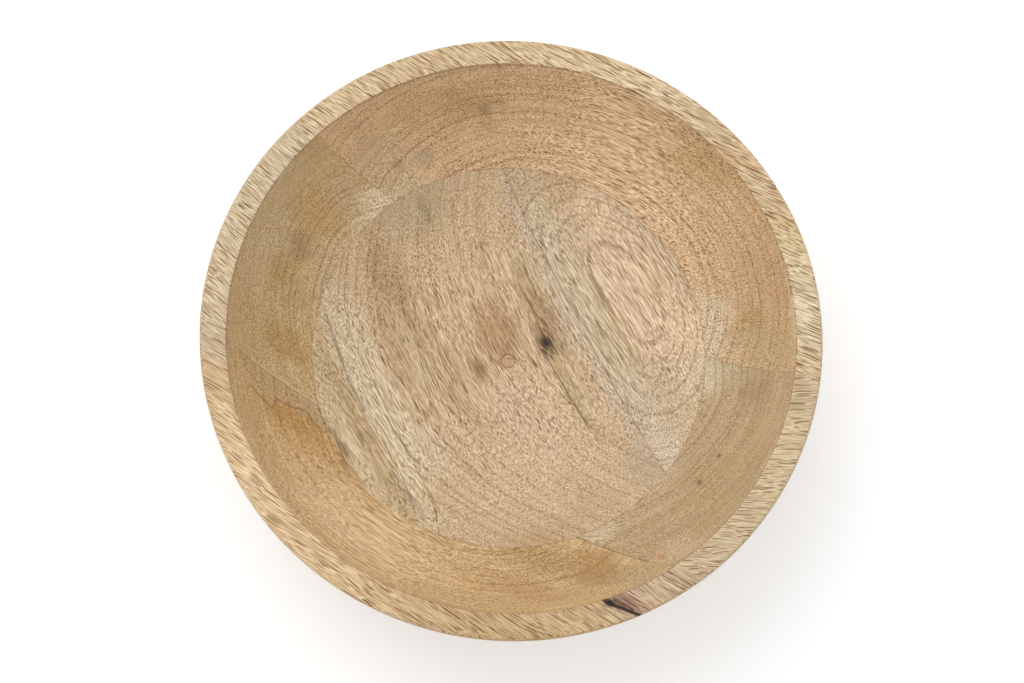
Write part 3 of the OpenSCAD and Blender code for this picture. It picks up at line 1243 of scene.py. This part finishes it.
corner = np.array([[-1, -1, 0], [1, -1, 0], [1, 1, 0], [-1, 1, 0]]) * floor_half + [0, 0, floor_z]
floor_mesh = bpy.data.meshes.new("studio_floor")
floor_mesh.from_pydata(corner.tolist(), [], [(0, 1, 2, 3)])
floor = bpy.data.objects.new("studio_floor", floor_mesh)
scene.collection.objects.link(floor)

floor_paint = bpy.data.materials.new("white_floor")
floor_paint.use_nodes = True
tree = floor_paint.node_tree
shader = tree.nodes["Principled BSDF"]
shader.inputs["Base Color"].default_value = (floor_white, floor_white, floor_white, 1)
shader.inputs["Roughness"].default_value = 0.9
shader.inputs["Emission Color"].default_value = (1, 1, 1, 1)
tree.links.new((seen_rays(tree) * floor_glow).socket, shader.inputs["Emission Strength"])
floor_mesh.materials.append(floor_paint)
print(f"floor {2 * floor_half:.0f} m wide at {floor_z / MM:.1f} mm")

# %% [markdown]
# ## Light
#
# A bright, even sky lights the bowl from all round, with one large soft lamp high on the left. The sky is
# white to look at and a little dimmer as a light.

# %% Sky and lamp
world = bpy.data.worlds.new("studio")
scene.world = world
world.use_nodes = True
sky = world.node_tree.nodes["Background"]
sky_level = 0.72
level = seen_rays(world.node_tree) * (1 - sky_level) + sky_level
world.node_tree.links.new(level.socket, sky.inputs["Strength"])
sky.inputs["Color"].default_value = (1, 1, 1, 1)

lamp = bpy.data.lights.new("soft_lamp", "AREA")
lamp.shape = "SQUARE"
lamp.size = 1.4
lamp.energy = 10
lamp_place = np.array([-0.85, 0.4, 1.3])
lamp_object = bpy.data.objects.new("soft_lamp", lamp)
lamp_object.location = lamp_place
lamp_object.rotation_euler = Vector(lamp_place).to_track_quat("Z", "Y").to_euler()
scene.collection.objects.link(lamp_object)
print(f"sky {sky_level}, lamp {lamp.energy:.0f} W")

# %% [markdown]
# ## Camera
#
# The camera looks down from high in front, a little from the right and rolled. Its lens and place were
# fitted to the rim's two circles, the circle of the glue plane and the glue lines. It aims at the middle
# of the rim and is then slid a few millimetres.

# %% Camera
image_w = 1024
focal_px = 2122.6
camera_angles = [18.6, 74.249, -8.713]
azimuth, elevation, roll = np.radians(camera_angles)
distance = 1018.6
slide_right, slide_up = 0.47, 6.206
flat = np.cos(elevation)
back = np.array([np.sin(azimuth) * flat, -np.cos(azimuth) * flat, np.sin(elevation)])
level_right = np.cross([0, 0, 1], back)
level_right /= np.linalg.norm(level_right)
level_up = np.cross(back, level_right)
right = np.cos(roll) * level_right - np.sin(roll) * level_up
up = np.sin(roll) * level_right + np.cos(roll) * level_up
eye = np.array([0, 0, bowl_h]) + distance * back - slide_right * right - slide_up * up
camera_data = bpy.data.cameras.new("camera")
camera_data.sensor_fit = "HORIZONTAL"
camera_data.sensor_width = 36
camera_data.lens = camera_data.sensor_width * focal_px / image_w
camera = bpy.data.objects.new("camera", camera_data)
scene.collection.objects.link(camera)
turned = np.eye(4)
turned[:3, 0], turned[:3, 1], turned[:3, 2], turned[:3, 3] = right, up, back, eye * MM
camera.matrix_world = Matrix(turned.tolist())
scene.camera = camera
scene.view_settings.view_transform = "Standard"
print(f"lens {camera_data.lens:.1f} mm at {distance:.0f} mm")
